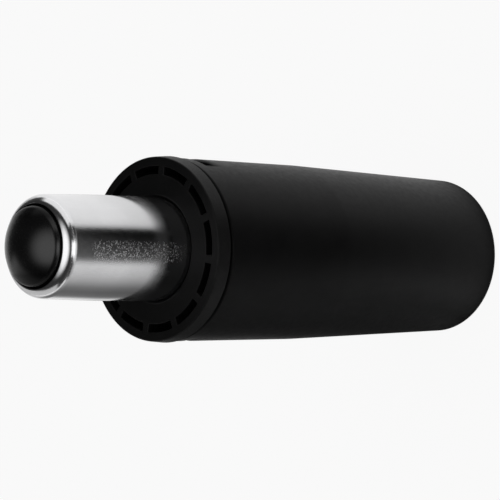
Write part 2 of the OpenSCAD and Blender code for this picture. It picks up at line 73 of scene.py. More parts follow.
# Sizes of the column, as in the solids, with finer roundings
SLOPE = math.tan(math.radians(1.4378))
COLUMN_WALL = 2 * MM
COLUMN_EDGE_OUT = 0.6 * MM
COLUMN_EDGE_IN = 0.4 * MM
BASE_TAPER = 68 * MM
BASE_BLEND = 90 * MM
RIM_REACH = 3.8 * MM
RIM_ROUND = 0.4 * MM
RIM_BEND = 1 * MM
RIM_EDGE = 0.3 * MM
CRIMP_TURN = math.radians(-8.1)
CRIMP_COUNT = 2
CRIMP_DEPTH = 1.2 * MM
CRIMP_HEIGHT = 5 * MM
CRIMP_DROP = 4 * MM
CRIMP_SOFT = 0.12 * MM
CRIMP_EDGE = 0.25 * MM
CRIMP_REACH = math.radians(26)

# Sizes of the bush
COLLAR_CHAMFER = 1.2 * MM
COLLAR_DRAFT = 0.35 * MM
COLLAR_ROUND = 0.4 * MM
BUSH_WALL = 2.5 * MM
WEB_COUNT = 12
WEB_WIDTH = 2.2 * MM
WEB_TURN = math.radians(21.9)
SLOT_WIDTH = 2.2 * MM
SLOT_EDGE = 2.5 * MM
SLOT_ROUND = 0.2 * MM
BORE_CHAMFER = 0.85 * MM
BUSH_FIT = 0.06 * MM
GUIDE_FIT = 0.06 * MM
CRIMP_GAP = 0.3 * MM

# Sizes of the pressure tube and the button
TUBE_WALL = 2.2 * MM
TUBE_PROUD = 42.1 * MM
SEAT_TAPER = 22 * MM
SEAT_BLEND = 300 * MM
LIP_ROUND = 3.35 * MM
LIP_REACH = 0.9 * MM
MOUTH_EDGE = 0.35 * MM
FOOT_REACH = 3.2 * MM
FOOT_ROUND = 1.8 * MM
BUTTON_GAP = 0.4 * MM
BUTTON_ROUND = 2 * MM
BUTTON_WALL = 1.6 * MM
BUTTON_BOSS = 4.8 * MM
BUTTON_EDGE = 0.2 * MM
BOSS_FILLET = 0.4 * MM
HOLLOW_FILLET = 0.6 * MM
DOME_HEIGHT = 2.5 * MM
FLANGE_HEIGHT = 1.4 * MM
FLANGE_PLAY = 0.3 * MM
PIN_HOLE = 3.05 * MM
PIN_HOLD = 3.4 * MM

# Fineness of the meshes
TURNS = 288
TURN = 2 * math.pi / TURNS
ARC_STEP = math.radians(7.5)
DENT_STEP = 0.05 * MM
CRIMP_ROW = 0.4 * MM
CRIMP_ROWS = range(-5, 12)
CRIMP_TOP_ROW = 0.1 * MM
CRIMP_TOP_ROWS = range(-4, 5)
ROW_MARGIN = 0.001
GAP_STEPS = 10
SECTOR_STEPS = GAP_STEPS + 2
BEVEL_STEPS = 4
EDGE_ANGLE = math.radians(35)
KEY_DIGITS = 8
TINY = 1e-7

# Painted shade in the crimps: the paint's gloss is taken out there
CRIMP_SHADE_LAYER = "painted_shade"
CRIMP_SHADE_HEIGHT = 6.7 * MM
CRIMP_SHADE_FADE = 4.5 * MM
CRIMP_SHADE_REACH = math.radians(18.6)
CRIMP_SHADE_EDGE = math.radians(1.3)
PAINT_GLOSS = 0.085

# Specks and film on the chrome
SPECK_SIZE = 0.25 * MM
SPECK_SHARE = 0.4
SPECK_ROUGH = 0.6
SPECK_MIDDLE = -1.3 * MM
SPECK_HALF = 3.6 * MM
SPECK_CORE = 0.6
SPECK_GAP = 3 * MM
SPECK_RISE = 7 * MM
SPECK_LOW = 0.35
FILM_ROUGH = 0.24
FILM_LOW = 8 * MM
FILM_HIGH = 11 * MM
FILM_FADE = 7 * MM

# Gloss of the button in a stripe across it and matt beside it, which paints shade on its rim
BUTTON_GLOSS = 0.6
BUTTON_MATT = 0.1
GLOSS_STRIPE_HALF = 4 * MM
GLOSS_STRIPE_EDGE = 7.5 * MM

# Camera, at the place from which the photograph was taken
CAMERA_TARGET = Vector((0.00036, 0, 0.0828))
CAMERA_AZIMUTH = -1.88
CAMERA_ELEVATION = 45.87
CAMERA_DISTANCE = 0.6056
CAMERA_LENS = 154.2


def direction(azimuth, elevation):
    """Unit vector from the object, with azimuth 0 towards -Y and 90 towards +X."""
    a, e = math.radians(azimuth), math.radians(elevation)
    return Vector((math.sin(a) * math.cos(e), -math.cos(a) * math.cos(e), math.sin(e)))


def make_camera():
    data = bpy.data.cameras.new("camera")
    data.lens = CAMERA_LENS
    camera = bpy.data.objects.new("camera", data)
    scene.collection.objects.link(camera)
    back = direction(CAMERA_AZIMUTH, CAMERA_ELEVATION)
    right = Vector((1, 0, 0)).cross(back).normalized()
    up = back.cross(right)
    turn = Matrix((right, up, back)).transposed().to_4x4()
    camera.matrix_world = Matrix.Translation(CAMERA_TARGET + back * CAMERA_DISTANCE) @ turn
    scene.camera = camera


make_camera()


# Outlines: each run is a list of ((radius, height), normal), with the solid on the left of its way

def line_run(start, end):
    along = (Vector(end) - Vector(start)).normalized()
    normal = Vector((along.y, -along.x))
    return [(Vector(start), normal), (Vector(end), normal)]


def arc_run(centre, radius, start, end):
    """Arc about a centre between two angles. A left turn bulges and a right turn is hollow."""
    steps = max(2, math.ceil(abs(end - start) / ARC_STEP))
    side = 1 if end > start else -1
    run = []
    for i in range(steps + 1):
        angle = start + (end - start) * i / steps
        out = Vector((math.cos(angle), math.sin(angle)))
        run.append((Vector(centre) + out * radius, out * side))
    return run


def corner_arc(before, corner, after, radius):
    """Run that rounds a corner between two straight stretches."""
    to_before = (before - corner).normalized()
    to_after = (after - corner).normalized()
    half = to_before.angle(to_after) / 2
    centre = corner + (to_before + to_after).normalized() * radius / math.sin(half)
    first = corner + to_before * radius / math.tan(half) - centre
    last = corner + to_after * radius / math.tan(half) - centre
    start = math.atan2(first.y, first.x)
    turn = math.atan2(first.x * last.y - first.y * last.x, first.dot(last))
    return arc_run(centre, radius, start, start + turn)


def rounded_runs(corners):
    """Runs through (radius, height, rounding) corners. The two end corners aren't rounded."""
    points = [Vector(c[:2]) for c in corners]
    runs = []
    at = points[0]
    for i in range(1, len(points) - 1):
        if corners[i][2] > 0:
            arc = corner_arc(points[i - 1], points[i], points[i + 1], corners[i][2])
            runs += [line_run(at, arc[0][0]), arc]
            at = arc[-1][0]
        else:
            runs.append(line_run(at, points[i]))
            at = points[i]
    runs.append(line_run(at, points[-1]))
    return [run for run in runs if (run[-1][0] - run[0][0]).length > TINY]


def with_rows(runs, heights):
    """The same runs, with more points where a straight one passes the given heights."""
    made = []
    for run in runs:
        (start, normal), (end, _) = run[0], run[-1]
        if len(run) > 2 or abs(end.y - start.y) < TINY:
            made.append(run)
            continue
        shares = sorted((z - start.y) / (end.y - start.y) for z in heights)
        inner = [(start.lerp(end, s), normal) for s in shares if ROW_MARGIN < s < 1 - ROW_MARGIN]
        made.append([run[0], *inner, run[-1]])
    return made


def turned_mesh(name, runs, dent=None, painted_shade=None):
    """Mesh of an outline turned about the axis, with the outline's own normals.
    dent(radius, angle, height) says how far the wall is pushed in, and the last argument, of angle and
    height, how much of the paint's gloss is taken out there as painted shade."""
    mesh = bpy.data.meshes.new(name)
    rings, vertices, faces, normals, marks = {}, [], [], [], []

    def place(point, angle):
        radius = point.x - (dent(point.x, angle, point.y) if dent else 0)
        return Vector((radius * math.cos(angle), radius * math.sin(angle), point.y))

    def ring(point):
        key = (round(point.x, KEY_DIGITS), round(point.y, KEY_DIGITS))
        if key not in rings:
            first = len(vertices)
            if point.x < TINY:
                vertices.append((0, 0, point.y))
                rings[key] = [first] * TURNS
            else:
                vertices.extend(place(point, TURN * k) for k in range(TURNS))
                if painted_shade:
                    marks.extend(painted_shade(TURN * k, point.y) for k in range(TURNS))
                rings[key] = list(range(first, first + TURNS))
        return rings[key]

    def facing(point, normal, k):
        plain = Vector((normal.x * math.cos(TURN * k), normal.x * math.sin(TURN * k), normal.y))
        if not dent or dent(point.x, TURN * k, point.y) == 0:
            return plain
        along = Vector((-normal.y, normal.x)) * DENT_STEP
        turn = DENT_STEP / point.x
        across = place(point, TURN * k + turn) - place(point, TURN * k - turn)
        up = place(point + along, TURN * k) - place(point - along, TURN * k)
        return across.cross(up).normalized()

    for run in runs:
        for (p, p_normal), (q, q_normal) in zip(run, run[1:]):
            ring_p, ring_q = ring(p), ring(q)
            for k in range(TURNS):
                after = (k + 1) % TURNS
                loop = [(ring_p[k], p, p_normal, k), (ring_p[after], p, p_normal, after),
                        (ring_q[after], q, q_normal, after), (ring_q[k], q, q_normal, k)]
                kept = [c for i, c in enumerate(loop) if c[0] != loop[i - 1][0]]
                faces.append([c[0] for c in kept])
                normals.extend(facing(*c[1:]) for c in kept)
    mesh.from_pydata(vertices, [], faces)
    mesh.normals_split_custom_set(normals)
    if painted_shade:
        mesh.attributes.new(CRIMP_SHADE_LAYER, "FLOAT", "POINT").data.foreach_set("value", marks)
    return mesh


def finish_mesh(mesh, body, slot, solid):
    """Piece of a mesh that rides on a body, takes its finish from a slot and stands for a solid."""
    piece = bpy.data.objects.new(mesh.name, mesh)
    scene.collection.objects.link(piece)
    piece.data.materials.append(FINISH[slot])
    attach(piece, body)
    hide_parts(solid)
    return piece


# Nodes of the materials
PRINCIPLED = "Principled BSDF"
GLOSS = "Specular IOR Level"
EVEN = (1, 1, 1)
FLAT = (1, 1, 0)
COLOUR_SPAN = (0.35, 0.65)
ROUGH_SPAN = (0.3, 0.7)
ROUGH_GRAINS = 3
CLOUD_DETAIL = 4
GRAIN_DETAIL = 2


def node(tree, kind, **settings):
    made = tree.nodes.new(kind)
    for key, value in settings.items():
        setattr(made, key, value)
    return made


def split(tree, vector):
    """The three coordinates of a vector."""
    made = node(tree, "ShaderNodeSeparateXYZ")
    tree.links.new(vector, made.inputs[0])
    return made.outputs


def length(tree, vector):
    made = node(tree, "ShaderNodeVectorMath", operation="LENGTH")
    tree.links.new(vector, made.inputs[0])
    return made.outputs["Value"]


def reckon(tree, operation, first, second=0):
    """Sum, product or the like of two values, either of which may be a number."""
    made = node(tree, "ShaderNodeMath", operation=operation)
    for socket, value in zip(made.inputs, (first, second)):
        if isinstance(value, bpy.types.NodeSocket):
            tree.links.new(value, socket)
        else:
            socket.default_value = value
    return made.outputs[0]


def fading(tree, value, start, end, first, last, **settings):
    """Value that goes from first to last as another one goes from start to end."""
    made = node(tree, "ShaderNodeMapRange", **settings)
    for name, number in zip(("From Min", "From Max", "To Min", "To Max"), (start, end, first, last)):
        made.inputs[name].default_value = number
    tree.links.new(value, made.inputs["Value"])
    return made.outputs[0]


def coordinates(tree, rings=False, stretch=EVEN):
    """Object coordinates times a stretch, or radius and height alone for rings about the axis."""
    source = node(tree, "ShaderNodeTexCoord").outputs["Object"]
    if rings:
        flat = node(tree, "ShaderNodeVectorMath", operation="MULTIPLY")
        flat.inputs[1].default_value = FLAT
        tree.links.new(source, flat.inputs[0])
        joined = node(tree, "ShaderNodeCombineXYZ")
        tree.links.new(length(tree, flat.outputs[0]), joined.inputs[0])
        tree.links.new(split(tree, source)[2], joined.inputs[2])
        source = joined.outputs[0]
    mapping = node(tree, "ShaderNodeMapping")
    mapping.inputs["Scale"].default_value = stretch
    tree.links.new(source, mapping.inputs["Vector"])
    return mapping.outputs[0]


def noise(tree, vector, size, detail):
    made = node(tree, "ShaderNodeTexNoise")
    made.inputs["Scale"].default_value = 1 / size
    made.inputs["Detail"].default_value = detail
    tree.links.new(vector, made.inputs["Vector"])
    return made.outputs["Fac"]


def tint(tree, value, dark, light):
    """Colour that goes from dark to light over the middle of a noise."""
    made = node(tree, "ShaderNodeValToRGB")
    for mark, at, colour in zip(made.color_ramp.elements, COLOUR_SPAN, (dark, light)):
        mark.position = at
        mark.color = (*colour, 1)
    tree.links.new(value, made.inputs["Fac"])
    return made.outputs["Color"]


def surface(name, dark, light, rough, cloud, grain, depth, metallic=0, specular=0.5, rings=False,
            stretch=EVEN):
    """Material with clouds of colour and gloss, and a fine grain of a given size and depth."""
    made = bpy.data.materials.new(name)
    made.use_nodes = True
    tree = made.node_tree
    shader = tree.nodes[PRINCIPLED]
    shader.inputs["Metallic"].default_value = metallic
    shader.inputs[GLOSS].default_value = specular
    clouds = noise(tree, coordinates(tree), cloud, CLOUD_DETAIL)
    fine = coordinates(tree, rings, stretch)
    patches = noise(tree, fine, grain * ROUGH_GRAINS, CLOUD_DETAIL)
    tree.links.new(tint(tree, clouds, dark, light), shader.inputs["Base Color"])
    tree.links.new(fading(tree, patches, *ROUGH_SPAN, *rough), shader.inputs["Roughness"])
    bump = node(tree, "ShaderNodeBump")
    bump.inputs["Distance"].default_value = depth
    tree.links.new(noise(tree, fine, grain, GRAIN_DETAIL), bump.inputs["Height"])
    tree.links.new(bump.outputs[0], shader.inputs["Normal"])
    return made


# Looks by slot: dark and light colour, range of roughness, and sizes of its clouds and grain
LOOKS = {
    "black_paint": dict(
        dark=(0.0035, 0.0035, 0.0037), light=(0.005, 0.005, 0.0052), rough=(0.38, 0.46),
        cloud=12 * MM, grain=0.5 * MM, depth=0.0015 * MM, specular=PAINT_GLOSS),
    "black_moulding": dict(
        dark=(0.0025, 0.0025, 0.0026), light=(0.004, 0.004, 0.0041), rough=(0.42, 0.55),
        cloud=6 * MM, grain=0.18 * MM, depth=0.004 * MM, specular=0.2),
    "button_plastic": dict(
        dark=(0.003, 0.003, 0.0031), light=(0.0045, 0.0045, 0.0046), rough=(0.22, 0.28),
        cloud=5 * MM, grain=0.15 * MM, depth=0.0008 * MM, specular=BUTTON_GLOSS),
    "tube_chrome": dict(
        dark=(0.76, 0.76, 0.77), light=(0.8, 0.8, 0.81), rough=(0.12, 0.17),
        cloud=9 * MM, grain=0.4 * MM, depth=0.008 * MM, metallic=1),
    "rod_chrome": dict(
        dark=(0.7, 0.71, 0.73), light=(0.77, 0.78, 0.8), rough=(0.08, 0.16),
        cloud=8 * MM, grain=0.12 * MM, depth=0.001 * MM, metallic=1, rings=True),
    "hard_steel": dict(
        dark=(0.58, 0.59, 0.61), light=(0.66, 0.67, 0.69), rough=(0.14, 0.26),
        cloud=4 * MM, grain=0.1 * MM, depth=0.002 * MM, metallic=1, rings=True),
    "zinc_steel": dict(
        dark=(0.47, 0.49, 0.52), light=(0.6, 0.6, 0.6), rough=(0.28, 0.46),
        cloud=5 * MM, grain=0.4 * MM, depth=0.006 * MM, metallic=1),
    "spring_steel": dict(
        dark=(0.15, 0.15, 0.16), light=(0.24, 0.24, 0.25), rough=(0.3, 0.45),
        cloud=3 * MM, grain=0.2 * MM, depth=0.004 * MM, metallic=1),
    "drawn_steel": dict(
        dark=(0.45, 0.45, 0.47), light=(0.55, 0.55, 0.57), rough=(0.22, 0.4),
        cloud=6 * MM, grain=0.15 * MM, depth=0.003 * MM, metallic=1, stretch=(1, 1, 0.02)),
    "aluminium": dict(
        dark=(0.67, 0.68, 0.7), light=(0.76, 0.77, 0.79), rough=(0.2, 0.36),
        cloud=4 * MM, grain=0.12 * MM, depth=0.004 * MM, metallic=1, rings=True),
    "brass": dict(
        dark=(0.66, 0.49, 0.22), light=(0.76, 0.6, 0.31), rough=(0.18, 0.32),
        cloud=4 * MM, grain=0.12 * MM, depth=0.004 * MM, metallic=1, rings=True),
    "nylon": dict(
        dark=(0.76, 0.73, 0.63), light=(0.83, 0.8, 0.72), rough=(0.4, 0.55),
        cloud=5 * MM, grain=0.25 * MM, depth=0.004 * MM),
    "rubber": dict(
        dark=(0.022, 0.022, 0.022), light=(0.036, 0.036, 0.036), rough=(0.6, 0.8),
        cloud=3 * MM, grain=0.2 * MM, depth=0.008 * MM),
}
FINISH = {slot: surface(slot, **look) for slot, look in LOOKS.items()}


def paint_crimp_shade(tree):
    """Painted shade: the paint's gloss is taken out where a punch has pushed it in, so each crimp looks
    dark.
    """
    layer = node(tree, "ShaderNodeAttribute", attribute_name=CRIMP_SHADE_LAYER)
    # painted shade: the gloss falls to nothing in the crimps, which darkens them
    left = fading(tree, layer.outputs["Fac"], 0, 1, PAINT_GLOSS, 0)
    tree.links.new(left, tree.nodes[PRINCIPLED].inputs[GLOSS])


def roughen(tree, least):
    """Raises the roughness to the given one where it is less."""
    socket = tree.nodes[PRINCIPLED].inputs["Roughness"]
    tree.links.new(reckon(tree, "MAXIMUM", socket.links[0].from_socket, least), socket)


def rub(tree):
    """Small dull specks in a stripe along the tube, as handling leaves them."""
    where = coordinates(tree)
    specks = node(tree, "ShaderNodeTexVoronoi")
    specks.inputs["Scale"].default_value = 1 / SPECK_SIZE
    tree.links.new(where, specks.inputs["Vector"])
    chance = node(tree, "ShaderNodeSeparateColor")
    tree.links.new(specks.outputs["Color"], chance.inputs[0])
    x, _, z = split(tree, where)
    aside = reckon(tree, "ABSOLUTE", reckon(tree, "SUBTRACT", x, SPECK_MIDDLE))
    top = tube_hi.z - LIP_ROUND - SPECK_GAP
    low = bush_hi.z
    dull = fading(tree, chance.outputs[0], 1 - SPECK_SHARE, 1, 0, SPECK_ROUGH)
    dull = reckon(tree, "MULTIPLY", dull, fading(tree, aside, SPECK_HALF * SPECK_CORE, SPECK_HALF, 1, 0))
    dull = reckon(tree, "MULTIPLY", dull, fading(tree, z, top - SPECK_HALF, top, 1, 0))
    dull = reckon(tree, "MULTIPLY", dull, fading(tree, z, low, low + SPECK_RISE, SPECK_LOW, 1))
    roughen(tree, dull)


def grease(tree):
    """Duller film in a ring above the guide, where its edge has wiped the tube."""
    z = split(tree, coordinates(tree))[2]
    low, high = bush_hi.z + FILM_LOW, bush_hi.z + FILM_HIGH
    below = fading(tree, z, low - FILM_FADE, low, 0, FILM_ROUGH)
    above = fading(tree, z, high, high + FILM_FADE, FILM_ROUGH, 0)
    roughen(tree, reckon(tree, "MINIMUM", below, above))


def paint_button_shade(tree):
    """Plastic that is glossy in a stripe across the button and matt beside it, which paints shade on the
    dome's rim and narrows its highlight.
    """
    aside = reckon(tree, "ABSOLUTE", split(tree, coordinates(tree))[0])
    # painted shade: less gloss away from the stripe darkens the rim of the dome
    left = fading(tree, aside, GLOSS_STRIPE_HALF, GLOSS_STRIPE_EDGE, BUTTON_GLOSS, BUTTON_MATT)
    tree.links.new(left, tree.nodes[PRINCIPLED].inputs[GLOSS])


# painted shade in the crimps, made through the paint's gloss
paint_crimp_shade(FINISH["black_paint"].node_tree)
rub(FINISH["tube_chrome"].node_tree)
grease(FINISH["tube_chrome"].node_tree)
paint_button_shade(FINISH["button_plastic"].node_tree)


def dress_solids():
    """Every solid gets the finish of its slot."""
    for row in frame["record"]["subparts"]:
        solid = frame["nodes"][row["node"]]
        solid.data.materials.clear()
        solid.data.materials.append(FINISH[row["material_slot"]])


dress_solids()


# Column with its rolled rim, its taper and the two crimps that hold the bush
column_r = column_hi.y
crimp_top = column_hi.z - CRIMP_DROP
crimp_low = crimp_top - CRIMP_HEIGHT


def crimp_offset(angle):
    """Angle to the middle of the nearest crimp."""
    pitch = 2 * math.pi / CRIMP_COUNT
    return abs((angle - CRIMP_TURN + pitch / 2) % pitch - pitch / 2)


def crimp(radius, angle, z):
    """How far a straight punch has pushed the wall in: flush at its lower end and deepest at its top."""
    offset = crimp_offset(angle)
    if offset > CRIMP_REACH or not crimp_low - CRIMP_SOFT < z < crimp_top + CRIMP_EDGE:
        return 0
    punch = CRIMP_DEPTH * (z - crimp_low) / CRIMP_HEIGHT
    depth = radius - (radius - punch) / math.cos(offset)
    soft = (depth + math.hypot(depth, CRIMP_SOFT)) / 2
    fade = min(1, max(0, (crimp_top + CRIMP_EDGE - z) / (2 * CRIMP_EDGE)))
    return soft * fade * fade * (3 - 2 * fade)


def crimp_shade(angle, z):
    """Share of the gloss taken out as painted shade: all at the top of a crimp and none some way below it.
    """
    if not 0 < crimp_top - z < CRIMP_SHADE_HEIGHT:
        return 0
    across = min(1, max(0, (CRIMP_SHADE_REACH - crimp_offset(angle)) / CRIMP_SHADE_EDGE))
    along = min(1, (z - crimp_top + CRIMP_SHADE_HEIGHT) / CRIMP_SHADE_FADE)
    left = 1 - across * along
    return 1 - left * left


def make_column():
    out_0 = column_r - BASE_TAPER * SLOPE
    in_0 = out_0 - COLUMN_WALL + COLUMN_WALL * SLOPE
    rim_ri = in_0 - RIM_REACH
    rim_middle = (rim_ri + in_0) / 2
    top, column_ri = column_hi.z, column_r - COLUMN_WALL
    runs = rounded_runs([
        (rim_middle, 0, 0), (out_0, 0, RIM_ROUND), (column_r, BASE_TAPER, BASE_BLEND),
        (column_r, top, COLUMN_EDGE_OUT), (column_ri, top, COLUMN_EDGE_IN),
        (column_ri, BASE_TAPER, BASE_BLEND), (in_0, COLUMN_WALL, RIM_BEND),
        (rim_ri, COLUMN_WALL, RIM_EDGE), (rim_ri, 0, RIM_EDGE), (rim_middle, 0, 0)])
    rows = [crimp_low + i * CRIMP_ROW for i in CRIMP_ROWS]
    rows += [crimp_top + i * CRIMP_TOP_ROW for i in CRIMP_TOP_ROWS]
    mesh = turned_mesh("painted_column", with_rows(runs, rows), crimp, crimp_shade)
    finish_mesh(mesh, "column", "black_paint", "column_tube")


make_column()


# Guide bush: a sleeve with webs, under a collar that has a slot between each two webs
def make_bush():
    top, low = bush_hi.z, bush_lo.z
    under = column_hi.z
    bore_r = tube_hi.y + GUIDE_FIT
    collar_r = bush_hi.y
    inside_r = column_r - COLUMN_WALL
    slot_ro = column_r - SLOT_EDGE
    groove_r = inside_r - CRIMP_DEPTH - CRIMP_GAP
    radii = [bore_r, bore_r + BUSH_WALL, slot_ro - SLOT_WIDTH, groove_r, slot_ro, inside_r - BUSH_FIT,
             collar_r]
    heights = [low, low + BORE_CHAMFER, crimp_low - CRIMP_GAP, crimp_top + CRIMP_GAP, under,
               under + COLLAR_CHAMFER, top - BORE_CHAMFER, top]
    sleeve_row, slot_rows, groove_row, rim_row = 0, (2, 3), 3, 5
    groove_level, collar_level, top_level = 2, 4, 7
    columns = WEB_COUNT * SECTOR_STEPS
    pitch = 2 * math.pi / WEB_COUNT

    def solid(column, row, level):
        if not (0 <= row <= rim_row and 0 <= level < top_level):
            return False
        in_web = column % SECTOR_STEPS in (0, SECTOR_STEPS - 1)
        if row == sleeve_row:
            return True
        if level >= collar_level:
            return in_web or row not in slot_rows
        in_groove = level == groove_level and row >= groove_row
        return in_web and row < rim_row and not in_groove

    def place(column, row, level):
        sector, step = divmod(column % columns, SECTOR_STEPS)
        side = math.asin(WEB_WIDTH / 2 / radii[row])
        offset = side + (pitch - 2 * side) * (step - 1) / GAP_STEPS if step else 0
        angle = WEB_TURN + sector * pitch + offset
        radius, z = radii[row], heights[level]
        if row == sleeve_row and level in (0, top_level):
            radius += BORE_CHAMFER
        if row > rim_row:
            rise = (z - under - COLLAR_CHAMFER) / (top - under - COLLAR_CHAMFER)
            radius -= COLLAR_DRAFT * rise if rise >= 0 else COLLAR_CHAMFER
        return radius * math.cos(angle), radius * math.sin(angle), z

    shape = bmesh.new()
    weight = shape.edges.layers.float.new("bevel_weight_edge")
    made, where = {}, {}

    def corner(column, row, level):
        key = (column % columns, row, level)
        if key not in made:
            made[key] = shape.verts.new(place(*key))
            where[made[key]] = key
        return made[key]

    sides = [
        ((1, 0, 0), [(1, 0, 0), (1, 0, 1), (1, 1, 1), (1, 1, 0)]),
        ((-1, 0, 0), [(0, 0, 0), (0, 1, 0), (0, 1, 1), (0, 0, 1)]),
        ((0, 1, 0), [(0, 1, 0), (1, 1, 0), (1, 1, 1), (0, 1, 1)]),
        ((0, -1, 0), [(0, 0, 0), (0, 0, 1), (1, 0, 1), (1, 0, 0)]),
        ((0, 0, 1), [(0, 0, 1), (0, 1, 1), (1, 1, 1), (1, 0, 1)]),
        ((0, 0, -1), [(0, 0, 0), (1, 0, 0), (1, 1, 0), (0, 1, 0)])]
    for column in range(columns):
        for row in range(len(radii) - 1):
            for level in range(top_level):
                if not solid(column, row, level):
                    continue
                for (dc, dr, dl), face in sides:
                    if not solid(column + dc, row + dr, level + dl):
                        shape.faces.new([corner(column + c, row + r, level + k) for c, r, k in face])
    bmesh.ops.recalc_face_normals(shape, faces=shape.faces)
    for edge in shape.edges:
        keys = [where[v] for v in edge.verts]
        lowest = min(k[2] for k in keys)
        if edge.calc_face_angle(0) < EDGE_ANGLE or lowest < collar_level:
            continue
        outer = all(k[1] > rim_row for k in keys)
        if outer and lowest < top_level:
            continue
        edge[weight] = 1 if outer else SLOT_ROUND / COLLAR_ROUND
    mesh = bpy.data.meshes.new("slotted_bush")
    shape.to_mesh(mesh)
    shape.free()
    mesh.shade_smooth()
    mesh.set_sharp_from_angle(angle=EDGE_ANGLE)
    piece = finish_mesh(mesh, "column", "black_moulding", "guide_bush")
    bevel = piece.modifiers.new("rounding", "BEVEL")
    bevel.limit_method = "WEIGHT"
    bevel.width = COLLAR_ROUND
    bevel.segments = BEVEL_STEPS
    bevel.use_clamp_overlap = False
    bevel.harden_normals = True


make_bush()


# Pressure tube, from its rolled foot to the lip that curls in over the button's flange
tube_r = tube_hi.y
tube_ri = tube_r - TUBE_WALL
tube_top = bush_hi.z + TUBE_PROUD
taper_angle = math.atan(SLOPE)
lip_z = tube_top - LIP_ROUND
lip_r = tube_r - (lip_z - tube_top + SEAT_TAPER) * SLOPE - LIP_ROUND / math.cos(taper_angle)
lip_inner = tube_ri - lip_r
mouth_r = tube_ri - LIP_REACH


def make_pressure_tube():
    lip = Vector((lip_r, lip_z))
    edge_r = mouth_r + MOUTH_EDGE
    edge_rise = math.sqrt((LIP_ROUND - MOUTH_EDGE) ** 2 - (edge_r - lip_r) ** 2)
    edge_angle = math.atan2(edge_rise, edge_r - lip_r)
    inner_angle = math.acos((mouth_r - lip_r) / lip_inner)
    foot_ri = tube_ri - FOOT_REACH
    foot_z = tube_lo.z
    lip_start = lip + Vector((math.cos(taper_angle), math.sin(taper_angle))) * LIP_ROUND
    mouth_low = (mouth_r, lip_z + lip_inner * math.sin(inner_angle))
    runs = rounded_runs([
        (foot_ri, foot_z, 0), (tube_r, foot_z, FOOT_ROUND), (tube_r, tube_top - SEAT_TAPER, SEAT_BLEND),
        (lip_start.x, lip_start.y, 0)])
    runs.append(arc_run(lip, LIP_ROUND, taper_angle, edge_angle))
    runs.append(arc_run((edge_r, lip_z + edge_rise), MOUTH_EDGE, edge_angle, math.pi))
    runs.append(line_run((mouth_r, lip_z + edge_rise), mouth_low))
    runs.append(arc_run(lip, lip_inner, inner_angle, 0))
    runs += rounded_runs([
        (tube_ri, lip_z, 0), (tube_ri, foot_z + TUBE_WALL, 0), (foot_ri, foot_z + TUBE_WALL, 0),
        (foot_ri, foot_z, 0)])
    mesh = turned_mesh("chrome_tube", runs)
    finish_mesh(mesh, "gas_spring", "tube_chrome", "pressure_tube")


make_pressure_tube()


# Button with its dome, its rounded edge and the flange that stops under the lip
def make_button():
    button_r = mouth_r - BUTTON_GAP
    top = button_hi.z
    round_r = button_r - BUTTON_ROUND
    dome_r = (round_r ** 2 + DOME_HEIGHT ** 2) / (2 * DOME_HEIGHT)
    dome_z = top - dome_r
    round_z = dome_z + math.sqrt((dome_r - BUTTON_ROUND) ** 2 - round_r ** 2)
    edge_angle = math.atan2(round_z - dome_z, round_r)
    hollow_r = button_r - BUTTON_WALL
    hollow_top = dome_z + math.sqrt(dome_r ** 2 - hollow_r ** 2) - BUTTON_WALL
    flange_r = button_hi.y
    flange_top = lip_z + math.sqrt(lip_inner ** 2 - (flange_r - lip_r) ** 2) - FLANGE_PLAY
    flange_z = flange_top - FLANGE_HEIGHT
    boss_z = button_lo.z
    runs = rounded_runs([
        (0, boss_z + PIN_HOLD, 0), (PIN_HOLE, boss_z + PIN_HOLD, 0), (PIN_HOLE, boss_z, 0),
        (BUTTON_BOSS, boss_z, BUTTON_EDGE), (BUTTON_BOSS, hollow_top, BOSS_FILLET),
        (hollow_r, hollow_top, HOLLOW_FILLET), (hollow_r, flange_z, BUTTON_EDGE),
        (flange_r, flange_z, BUTTON_EDGE), (flange_r, flange_top, BUTTON_EDGE),
        (button_r, flange_top, BUTTON_EDGE), (button_r, round_z, 0)])
    runs.append(arc_run((round_r, round_z), BUTTON_ROUND, 0, edge_angle))
    runs.append(arc_run((0, dome_z), dome_r, edge_angle, math.pi / 2))
    mesh = turned_mesh("button_dome", runs)
    finish_mesh(mesh, "button", "button_plastic", "button_cap")


make_button()


# Floor, reflection cards and light
FLOOR_SIZE = 30
FLOOR_COLOUR = (0.95, 0.95, 0.95, 1)
FLOOR_GLOW = 0.92
CARD_RISE = 0.08 * MM
CARD_STEPS = 48
BLACK = (0, 0, 0, 1)
WHITE = (1, 1, 1, 1)
SKY_LOW = 0.09
SKY_HIGH = 0.03
SKY_FADE = 0.35
FACE_MIDDLE = 0.5

